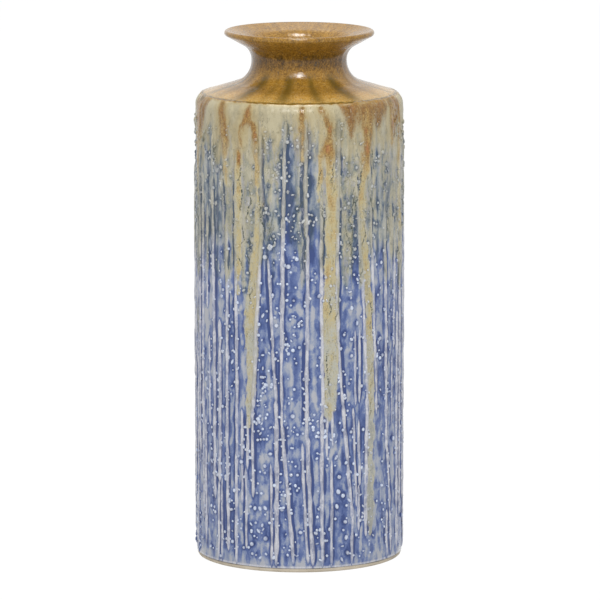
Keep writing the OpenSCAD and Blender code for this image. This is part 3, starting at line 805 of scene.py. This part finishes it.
# %% Glaze: amber runs
# Iron turns the runs rust red when thick, honey when thinner and pale olive at their tips. A hot run has a
# dark edge and a cooler one a pale edge.
stained = shifted(layer["stain"], patch=1.6, grit=1.8)
stained = add(tree, "Math", {0: stained, 1: mask["near_stain"]}, operation="MULTIPLY", use_clamp=True)
inside = add(tree, "Math", {0: mask["in_run"], 1: stained}, operation="MAXIMUM")
over_slip = add(tree, "Math", {0: crest, 1: -0.6, 2: 1.0}, operation="MULTIPLY_ADD")
amber_share = add(tree, "Math", {0: inside, 1: over_slip}, operation="MULTIPLY")
hottest = 1.25
warmth = shifted(layer["warm"], patch=0.3, dash=0.3, fleck=0.5, grit=0.5)
warmth = add(tree, "Math", {0: warmth, 1: hottest}, operation="DIVIDE")
amber = add(tree, "ValToRGB", {"Fac": warmth},
            codes="#94958F #A6A79D #AFAC9B #ADA68C #B0A685 #B6A97F "
                  "#B5A174 #B1965F #A98A50 #A6844A #A57A45 #B6764C",
            places=[0.0, 0.06, 0.16, 0.24, 0.3, 0.37, 0.45, 0.59, 0.7, 0.77, 0.88, 1.0])
amber = laid(amber, ("#7A5426", mask["rim"], mask["rust_rim"]), ("#BDB8A2", mask["rim"], mask["pale_rim"]))
print("amber ramp made")

# %% Glaze: honey coat of the neck
# On the neck and the shoulder the same amber lies as a whole coat: dark brown where it is thin on the
# waist, honey where it gathered lower down, and granular all over from crystals that grew as it cooled.
golden = shifted(layer["gold"], grit=1.15, fleck=0.65, dash=0.35)
# The light end of this ramp, used on the shoulder, is partly a painted sheen from the light above.
honey = add(tree, "ValToRGB", {"Fac": golden}, codes="#3A2A08 #573E0E #805B1B #A57B2E #BC9044 #CEB070")
amber = laid(amber, (honey, layer["coat"]))
print("honey ramp made")

# %% Glaze: specks, cracks and streaks
# The amber is granular, with dark flecks of iron; the runs carry dark dashes; crack lines are nearly black.
dark_streak = shifted(layer["streak"], fleck=0.5, grit=0.5)
dark_streak = add(tree, "Math", {0: dark_streak, 1: 0.75}, operation="MULTIPLY", use_clamp=True)
amber = laid(amber, ("#6A4E22", mask["fleck"], mask["hot"]),
             ("#6A4319", mask["lace"], mask["hot"], mask["no_coat"]), ("#574614", dark_streak))
warm_only = add(tree, "Math", {0: mask["not_blue"], 1: amber_share}, operation="MAXIMUM")
# The pale line on the shoulder's edge is partly thin glaze and partly a painted highlight.
colour = laid(ground, (amber, amber_share), ("#D2C4A0", layer["thin_edge"]),
              ("#5E5A40", mask["dash"], warm_only),
              ("#3E463F", mask["crack"], layer["crack_near"], mask["broken"], warm_only),
              ("#454B47", mask["wrinkle"], mask["wrinkled"], warm_only, mask["not_hottest"]))
print("specks and cracks made")

# %% Glaze: gloss
# The surface is dimpled like orange peel. The olive has a satin sheen and the blue and amber are glossy.
peel = add(tree, "Math", {0: grain["patch"], 1: 2.0, 2: grain["dash"]}, operation="MULTIPLY_ADD")
peel = add(tree, "Math", {0: grain["fleck"], 1: 0.5, 2: peel}, operation="MULTIPLY_ADD")
bump = add(tree, "Bump", {"Height": peel, "Strength": 0.5, "Distance": 0.12 * mm})
glassy = add(tree, "Math", {0: blue_share, 1: amber_share}, operation="MAXIMUM")
gloss = add(tree, "MapRange", {"Value": glassy, "To Min": 0.36, "To Max": 0.14})
gloss = add(tree, "Math", {0: layer["coat"], 1: 0.03, 2: gloss}, operation="MULTIPLY_ADD")
shader.inputs["IOR"].default_value = 1.5
shader.inputs["Specular IOR Level"].default_value = 0.4
for socket, source in {"Base Color": colour, "Normal": bump, "Roughness": gloss}.items():
    tree.links.new(source, shader.inputs[socket])
print(f"glaze nodes: {len(tree.nodes)}")

# %% [markdown]
# ## Wall
# The cylinder is the canvas of the whole vase. Its outside is a fine grid, about half a millimetre across,
# so that the glaze can stand and run on it; the bore inside is plain. Both belong to one closed skin.

# %% Turn the wall
wall_columns, wall_rows, bore_rows = 840, 216, 20
wall_turns = round_turns(wall_columns)
outer_z = np.linspace(wall_low, wall_top, wall_rows)
outside = np.column_stack([np.full(len(outer_z), wall_r), outer_z])
inside_z = np.linspace(wall_top, wall_low, bore_rows)
bore = np.column_stack([np.full(len(inside_z), bore_r), inside_z])
wall_section = np.concatenate([outside, bore])
wall_height = np.broadcast_to(wall_section[:, 1:], (len(wall_section), len(wall_turns)))
wall_turn = np.broadcast_to(wall_turns, wall_height.shape)
on_outside = (wall_section[:, :1] > bore_r + 1) * np.ones(wall_height.shape)
foot_roll = 0.3 * (1 - ease(0, 1.6, wall_height - wall_low))
wall_lift = on_outside * (pick(lift, wall_turn, wall_height) - foot_roll)
wall = skin("glazed_wall", [turned(wall_section, wall_turns, wall_lift, [len(outside) - 1])], loop=True)
# The lowest strip is thinly glazed, so it counts as slip and comes out pale.
bare_strip = 1.8
lie = np.minimum(lie, 0.5 * (height - wall_low - bare_strip))
chart = {"lie": lie, "to_run": to_run, "warm": warm, "stain": stain, "blue": blue, "tone": tone,
         "groove_and_shade": groove_and_shade, "plate": plate, "crack_off": crack_off, "crack_near": crack_near}
# The bore has one plain glaze all over.
in_the_bore = {"lie": 9, "to_run": 9, "stain": 0, "groove_and_shade": -9, "plate": -2, "crack_near": 0,
               "warm": 0.4, "blue": 0.4, "tone": 0.4, "crack_off": 0.4}


def charted(turns, heights):
    """Every layer of the chart at some turns and heights."""
    return {name: pick(values, turns, heights) for name, values in chart.items()}


paint(wall, **{name: np.where(on_outside, values, in_the_bore[name])
               for name, values in charted(wall_turn, wall_height).items()})
settle(wall, glaze, "body_wall")

# %% [markdown]
# ## Trails
# Each trail is a half-round rib with soft flanks, laid on by hand over the wall. A curve with a bevel would
# be quick, but its section would stay the same all along. Rings of points let each trail swell, sway,
# follow the uneven wall and taper at its ends.

# %% Lay the trails
# Section of a trail: across and up in shares of its size, and in mm how far it sinks into the wall.
rib_across = np.concatenate([np.linspace(-1, 1, 11), [0.8, -0.8]])
rib_up = np.concatenate([np.cos(np.linspace(-1, 1, 11) * math.pi / 2) ** 1.5, [0, 0]])
rib_under = np.concatenate([[-0.12], np.zeros(9), [-0.12], [-0.7, -0.7]])
# No trail or bead stands further off the wall than the solids do.
tallest = 1.17


def rib(node, i):
    """Rings of one trail, in mm, with its height over the wall, its turns and its heights."""
    low_tip, high_tip = tips(node, i)
    from_tip = np.array([0.02, 0.2, 0.6, 1.2, 2.0])
    inner = np.linspace(low_tip + 3, high_tip - 3, max(3, math.ceil((high_tip - low_tip - 6) / 1.15)))
    heights = np.concatenate([low_tip + from_tip, inner, (high_tip - from_tip)[::-1]])
    middle, half = course(node, i, heights)
    tall = half * (0.84 + 0.1 * np.sin(heights / 4.3 + trail_phase[node][i, 1]))
    turns = middle[:, None] + rib_across * (1.4 * half)[:, None] / mm_per_turn
    up = rib_up * tall[:, None] + rib_under
    level = np.broadcast_to(heights[:, None], turns.shape)
    r = wall_r + np.minimum(pick(lift, turns, level) * 0.6 + up, tallest)
    return on_pot(r, turns, level), up, turns, level


for node, name in (("long_slip_trails", "long_trails"), ("short_slip_trails", "short_trails")):
    ribs = [rib(node, i) for i in range(len(trail_ends[node]))]
    trails = skin(name, [part[0] for part in ribs])
    up, turns, level = (np.concatenate([part[k].ravel() for part in ribs]) for k in (1, 2, 3))
    values = charted(turns, level)
    values["lie"] = -up * (0.35 + 0.65 * ease(4, 15, level))
    paint(trails, **values)
    settle(trails, glaze, node)

# %% [markdown]
# ## Beads
# Drops from the slip bottle dried as small domes. They are spheres cut by the wall at first thought, but a
# drop wets the clay and spreads at its foot, and no two are alike. Each one gets a few rings with a flared
# foot, and seeded dice stretch and turn it a little.

# %% Set the beads
# Rings of a bead from its sunk foot to its crown, in shares of its size.
bead_corners, bead_rings = 12, 4
bead_angle = np.linspace(0, 2 * math.pi, bead_corners, endpoint=False)
bead_share = np.linspace(0, 1, bead_rings, endpoint=False)
bead_reach = np.concatenate([[0.9], 1.1 * np.cos(bead_share * math.pi / 2) ** 0.75, [0.05]])
bead_rise = np.concatenate([[-0.5], np.sin(bead_share * math.pi / 2) ** 1.25 - 0.06, [1.0]])


def bead(bead_turn, bead_z, width):
    """Rings of one bead, in mm, with its height over the wall."""
    size, stretch, tilt, tall = (dice.uniform(0.85, 1.15), 1 + 0.5 * dice.uniform(0, 1) ** 3,
                                 dice.uniform(0, math.pi), dice.uniform(0.78, 0.92))
    reach = bead_reach[:, None] * width / 2 * size
    along, aside = np.cos(bead_angle - tilt) * stretch, np.sin(bead_angle - tilt) / stretch
    across = reach * (along * math.cos(tilt) - aside * math.sin(tilt))
    rise = reach * (along * math.sin(tilt) + aside * math.cos(tilt))
    up = np.broadcast_to((bead_rise * width / 2 * tall * min(1, size))[:, None], across.shape)
    r = wall_r + np.minimum(0.5 * pick(lift, bead_turn, bead_z) + up, tallest)
    return on_pot(r, bead_turn + across / mm_per_turn, bead_z + rise), up


for node, name in (("large_slip_beads", "large_beads"), ("small_slip_beads", "small_beads")):
    domes = [bead(*mark) for mark in bead_marks[node]]
    beads = skin(name, [part[0] for part in domes])
    points = np.concatenate([part[0].reshape(-1, 3) for part in domes])
    values = charted(turn_of(points), points[:, 2])
    crowns = [(np.maximum(up, 0) / up.max()).ravel() for _, up in domes]
    values["lie"] = -0.62 * np.concatenate(crowns) ** 2.2
    dot = np.repeat(dice.uniform(0.5, 1, len(domes)), len(bead_reach) * len(bead_angle))
    paint(beads, dot=dot, **values)
    settle(beads, glaze, node)

# %% [markdown]
# ## Shoulder
# The shoulder rounds over from the wall and slopes up to the neck. The olive glaze ends on its rounded edge
# and the amber begins, with dark streaks that point to the neck where the glaze flowed down. Below, a
# spigot reaches into the wall, and a rabbet holds the neck.

# %% Helpers for curved sections
def arc(centre, r, start, end, step=2.5):
    """Points of an arc from one angle to another, in degrees."""
    angle = np.radians(np.linspace(start, end, max(2, math.ceil(abs(end - start) / step)) + 1))
    return np.column_stack([centre[0] + r * np.cos(angle), centre[1] + r * np.sin(angle)])


def spaced(points, step):
    """The same section with points no further apart than step."""
    parts = []
    for a, b in zip(points[:-1], points[1:]):
        count = max(1, math.ceil(np.linalg.norm(b - a) / step))
        parts.append(a + (b - a) * np.linspace(0, 1, count, endpoint=False)[:, None])
    return np.concatenate(parts + [points[-1:]])


print("a quarter of a circle takes", len(arc((0, 0), 1, 0, 90)), "points")

# %% Turn the shoulder
shoulder_round, shoulder_fall, shoulder_t, spigot_h, spigot_t = 7.0, 17.0, 5.0, 7.0, 3.0
slip_play, band_h = 0.15, 0.7
fit_r = bore_r - slip_play
round_c = np.array([wall_r - shoulder_round, wall_top + band_h])
slope = math.radians(shoulder_fall)
slope_reach = round_c @ [math.sin(slope), math.cos(slope)] + shoulder_round


def slope_z(reach, r):
    """Height of a sloping line, a set reach from the axis' foot, at a radius."""
    return (reach - math.sin(slope) * r) / math.cos(slope)


seat_r, ledge_w, rabbet_h = 38.712, 3.2, 2.5
seat_z = slope_z(slope_reach, seat_r) - rabbet_h
opening_r = seat_r - ledge_w
spigot_r = fit_r - spigot_t
shown_side = spaced(np.concatenate([
    [[wall_r, wall_top]], arc(round_c, shoulder_round, 0, 90 - shoulder_fall),
    [[seat_r, slope_z(slope_reach, seat_r)]]]), 0.6)
hidden_side = spaced(np.array([
    [seat_r, slope_z(slope_reach, seat_r)], [seat_r, seat_z], [opening_r, seat_z],
    [opening_r, slope_z(slope_reach - shoulder_t, opening_r)],
    [spigot_r, slope_z(slope_reach - shoulder_t, spigot_r)],
    [spigot_r, wall_top - spigot_h], [fit_r, wall_top - spigot_h], [fit_r, wall_top]]), 3)[1:]
shoulder_section = np.concatenate([shown_side, hidden_side])
step = np.linalg.norm(np.diff(shown_side, axis=0), axis=1)
climb = wall_top + np.concatenate([[0], np.cumsum(step)])
climb = np.concatenate([climb, np.full(len(hidden_side), chart_top - 1.0)])
shoulder_turn, shoulder_climb = np.meshgrid(wall_turns, climb)
shoulder_lift = pick(lift, shoulder_turn, shoulder_climb)
shoulder = skin("glazed_shoulder", [turned(shoulder_section, wall_turns, shoulder_lift, [0])], loop=True)
print(f"shoulder climbs {step.sum():.1f} mm along its outside")

# %% Streaks on the shoulder
# Turn, half width in degrees and darkness of each streak.
streaks = [(-41, 6.0, 1.0), (-10.6, 5.0, 1.0), (12, 4.0, 0.9), (37, 6.0, 1.0), (-62, 5, 0.5), (60, 5, 0.4),
           (-24, 3, 0.35)]
streak_dice = np.random.default_rng(53)
streaks += [(t, streak_dice.uniform(2, 5), streak_dice.uniform(0.4, 1.0)) for t in np.arange(80, 290, 17.0)]


def streaks_at(turns):
    """How dark the olive streaks are at some turns."""
    return np.max([s * np.exp(-(turns_apart(turns, t) / w) ** 2) for t, w, s in streaks], axis=0)


fade = ease(265, 278, shoulder_climb)
values = charted(shoulder_turn, shoulder_climb)
olive_line = 1.2 * np.exp(-((values["to_run"] + 2.0) / 1.5) ** 2) * ease(264, 268, shoulder_climb)
# A pale line under the amber's roll: partly thin glaze, partly a painted highlight, strongest on the front.
thin_edge = np.exp(-((shoulder_climb - amber_end.mean() + 0.7) / 0.45) ** 2)
thin_edge *= ease(-0.9, 0.1, values["to_run"])
glint = 0.1 + 0.25 * pick(ripple(9, 9, 63), shoulder_turn, shoulder_climb)
glint += 0.5 * ease(-26, -10, -np.abs(shoulder_turn))
thin_edge *= np.clip(glint, 0, 0.7)
# The shoulder's coat is lighter than the neck's, partly as a painted sheen from the light above.
gold = 0.64 + 0.24 * ease(0, 2, -values["to_run"]) - 0.18 * ease(273, 286, shoulder_climb)
paint(shoulder, streak=np.maximum(streaks_at(shoulder_turn) * fade, olive_line), gold=gold,
      coat=ease(266.5, 271, shoulder_climb), thin_edge=thin_edge, **values)
settle(shoulder, glaze, "shoulder")

# %% [markdown]
# ## Neck and mouth
# The neck was thrown on its own and set in the shoulder's rabbet. It curves in to a waist and out again to
# a wide flare that ends in a rounded lip. Amber glaze covers it inside and out.

# %% Turn the neck
neck_d, neck_t, neck_root_r, waist_h, flare_r, flare_rise = 54.6, 5.0, 13.3, 0.4, 9.6, 29.0
throat_entry_r, lip_r = 12.0, 1.6
waist_r, throat_r = neck_d / 2, neck_d / 2 - neck_t
lip_c = np.array([mouth_r - lip_r, vase_h - lip_r])
rise = math.radians(flare_rise)
flare_tip = lip_c + lip_r * np.array([math.sin(rise), -math.cos(rise)])
flare_base = waist_r + flare_r * (1 - math.sin(rise))
waist_top = flare_tip[1] - (flare_tip[0] - flare_base) * math.tan(rise) - flare_r * math.cos(rise)
flare_c = np.array([waist_r + flare_r, waist_top])
root_c = np.array([waist_r + neck_root_r, waist_top - waist_h])
mouth_in_r = flare_r + neck_t
to_lip = lip_c - flare_c
mouth_turn = math.atan2(to_lip[1], to_lip[0]) + math.acos((mouth_in_r - lip_r) / np.linalg.norm(to_lip))
mouth_turn = math.degrees(mouth_turn)
throat_c = np.array([throat_r + throat_entry_r,
                     slope_z(slope_reach - shoulder_t + throat_entry_r, throat_r + throat_entry_r)])
outer_side = np.concatenate([
    [[seat_r, slope_z(slope_reach, seat_r)]], arc(root_c, neck_root_r, 270 - shoulder_fall, 180),
    arc(flare_c, flare_r, 180, 90 + flare_rise), arc(lip_c, lip_r, flare_rise - 90, mouth_turn, 8)])
inner_side = np.concatenate([
    arc(flare_c, mouth_in_r, mouth_turn, 180), arc(throat_c, throat_entry_r, 180, 270 - shoulder_fall),
    [[opening_r, slope_z(slope_reach - shoulder_t, opening_r)], [opening_r, seat_z], [seat_r, seat_z]]])
neck_step, neck_columns = 0.7, 512
neck_section = spaced(np.concatenate([outer_side, inner_side]), neck_step)
neck_turns = round_turns(neck_columns)
neck_turn, neck_z = np.meshgrid(neck_turns, neck_section[:, 1])
neck_lift = 0.06 * pick(ripple(9, 40, 61), neck_turn, neck_z - 40) * ease(0, 6, vase_h - neck_z)
neck = skin("glazed_neck", [turned(neck_section, neck_turns, neck_lift)], loop=True)
print(f"neck section: {len(neck_section)} points, waist at {waist_top:.1f} mm")

# %% Glaze on the neck
outer = np.arange(len(neck_section))[:, None] < len(spaced(outer_side, neck_step))
mottle = pick(ripple(4, 6, 62), neck_turn, neck_z - 60)
neck_streak = streaks_at(neck_turn) * ease(-285, -279, -neck_z) * outer
thin_coat = np.exp(-((neck_z - waist_top - 2) / 5) ** 2)
low_coat = ease(-waist_top, 13 - waist_top, -neck_z)
outside_gold = 0.5 + 0.15 * low_coat - 0.16 * thin_coat * (1 + 0.5 * mottle)
whole_coat = {"lie": 9.0, "to_run": -9.0, "warm": 0.6, "coat": 1.0}
paint(neck, gold=np.where(outer, outside_gold, 0.54) + 0.03 * mottle, streak=neck_streak,
      **{name: np.full(neck_turn.shape, value) for name, value in whole_coat.items()})
settle(neck, glaze, "flared_neck")

# %% [markdown]
# ## Bare foot
# The glaze is wiped off the foot so that the vase doesn't stick to the kiln shelf. What shows there is
# fired stoneware: a warm pale grey, matt and slightly gritty, with iron specks.

# %% Bare stoneware
clay = bpy.data.materials.new("bare stoneware")
clay.use_nodes = True
tree = clay.node_tree
shader = tree.nodes["Principled BSDF"]
place = add(tree, "TexCoord", {}, out="Object")
grit_mm, cloud_mm = 0.5, 9.0
grit = add(tree, "TexNoise", {"Vector": place, "Scale": 1 / (grit_mm * mm), "Detail": 3.0})
cloud = add(tree, "TexNoise", {"Vector": place, "Scale": 1 / (cloud_mm * mm), "Detail": 2.0})
body = add(tree, "ValToRGB", {"Fac": cloud}, codes="#B8AD9A #C9BEAB", places=[0.3, 0.7])
speck = add(tree, "MapRange", {"Value": grit, "From Min": 0.64, "From Max": 0.72})
body = add(tree, "Mix", {0: speck, 6: body, 7: linear("#7E6F5C")}, out=2, data_type="RGBA")
bump = add(tree, "Bump", {"Height": grit, "Strength": 0.5, "Distance": 0.1 * mm})
shader.inputs["Roughness"].default_value = 0.85
tree.links.new(body, shader.inputs["Base Color"])
tree.links.new(bump, shader.inputs["Normal"])
print(f"clay grit: {grit_mm} mm")

# %% Turn the floor
edge_inset, edge_round, foot_ring_w, foot_hollow_h, floor_t = 0.4, 1.2, 9.0, 1.5, 8.0
edge_r = wall_r - edge_inset
hollow_r = edge_r - foot_ring_w
floor_section = spaced(np.concatenate([
    [[1.0, foot_hollow_h], [hollow_r, foot_hollow_h], [hollow_r, 0]],
    arc([edge_r - edge_round, edge_round], edge_round, -90, 0, 10),
    [[edge_r, wall_low], [fit_r, wall_low], [fit_r, floor_t], [1.0, floor_t]]]), 2.5)
floor_columns = 256
floor_turns = round_turns(floor_columns)
floor_turn, floor_z = np.meshgrid(floor_turns, floor_section[:, 1])
at_edge = (floor_section[:, :1] > edge_r - 0.5) * np.ones(floor_z.shape)
foot_wear = -0.08 * at_edge * (1 + pick(ripple(7, 40, 71), floor_turn, floor_z))
foot = skin("bare_foot", [turned(floor_section, floor_turns, foot_wear)])
settle(foot, clay, "floor_slab")
